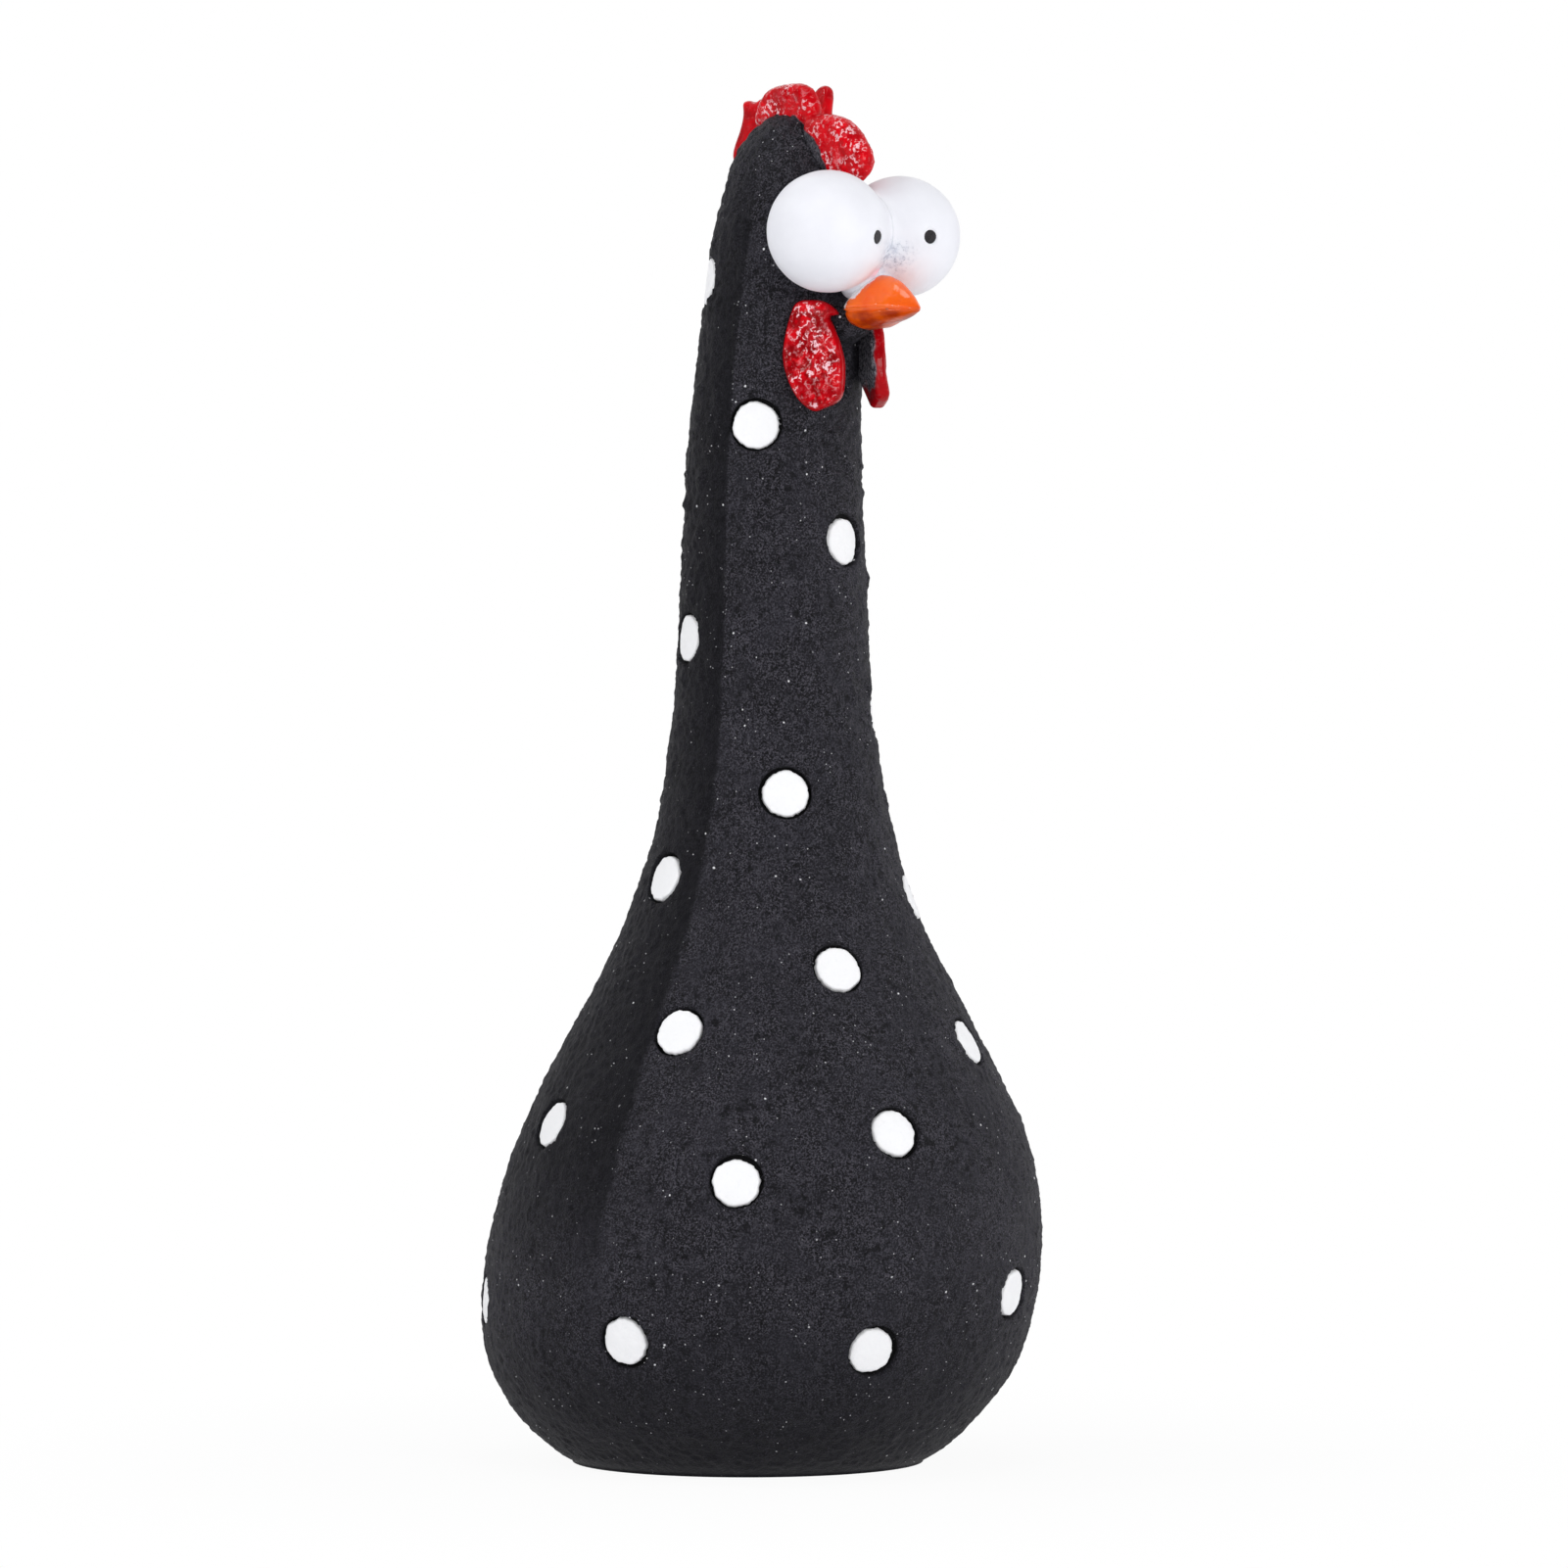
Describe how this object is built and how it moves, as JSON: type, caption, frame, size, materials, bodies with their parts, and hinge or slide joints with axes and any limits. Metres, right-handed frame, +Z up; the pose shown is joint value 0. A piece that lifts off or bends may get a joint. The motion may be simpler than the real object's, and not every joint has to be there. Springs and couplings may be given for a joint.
{
  "type": "chicken garden statue",
  "caption": "Long-necked chicken garden statue: hollow black sandy casting with white dots, bulging eyes, orange beak, red comb and red wattles, on a flat base.",
  "frame": {"origin": "on the standing plane, under the middle of the belly's outline", "axes": "+Z up; the hen looks along -Y and its left side is +X"},
  "size_m": [0.081, 0.0822, 0.2005],
  "materials": {
    "black_sand_finish": "matte",
    "base_resin": "matte",
    "red_enamel": "gloss",
    "white_enamel": "satin",
    "orange_enamel": "gloss",
    "black_enamel": "gloss",
    "dot_white": "matte"
  },
  "bodies": {
    "root": {"body_casting": "black_sand_finish", "base_disc": "base_resin", "comb": "red_enamel", "face_bridge": "white_enamel", "beak": "orange_enamel", "eye_right": "white_enamel", "pupil_right": "black_enamel", "wattle_right": "red_enamel", "eye_left": "white_enamel", "pupil_left": "black_enamel", "wattle_left": "red_enamel", "dot_belly_1": "dot_white", "dot_belly_2": "dot_white", "dot_belly_3": "dot_white", "dot_belly_4": "dot_white", "dot_belly_5": "dot_white", "dot_belly_6": "dot_white", "dot_belly_7": "dot_white", "dot_belly_8": "dot_white", "dot_belly_9": "dot_white", "dot_belly_10": "dot_white", "dot_belly_11": "dot_white", "dot_belly_12": "dot_white", "dot_belly_13": "dot_white", "dot_belly_14": "dot_white", "dot_belly_15": "dot_white", "dot_shoulder_1": "dot_white", "dot_shoulder_2": "dot_white", "dot_shoulder_3": "dot_white", "dot_shoulder_4": "dot_white", "dot_shoulder_5": "dot_white", "dot_shoulder_6": "dot_white", "dot_shoulder_7": "dot_white", "dot_shoulder_8": "dot_white", "dot_shoulder_9": "dot_white", "dot_shoulder_10": "dot_white", "dot_shoulder_11": "dot_white", "dot_neck_1": "dot_white", "dot_neck_2": "dot_white", "dot_neck_3": "dot_white", "dot_neck_4": "dot_white", "dot_neck_5": "dot_white", "dot_neck_6": "dot_white", "dot_neck_7": "dot_white", "dot_neck_8": "dot_white", "dot_neck_9": "dot_white", "dot_neck_10": "dot_white", "dot_neck_11": "dot_white"}
  },
  "joints": []
}
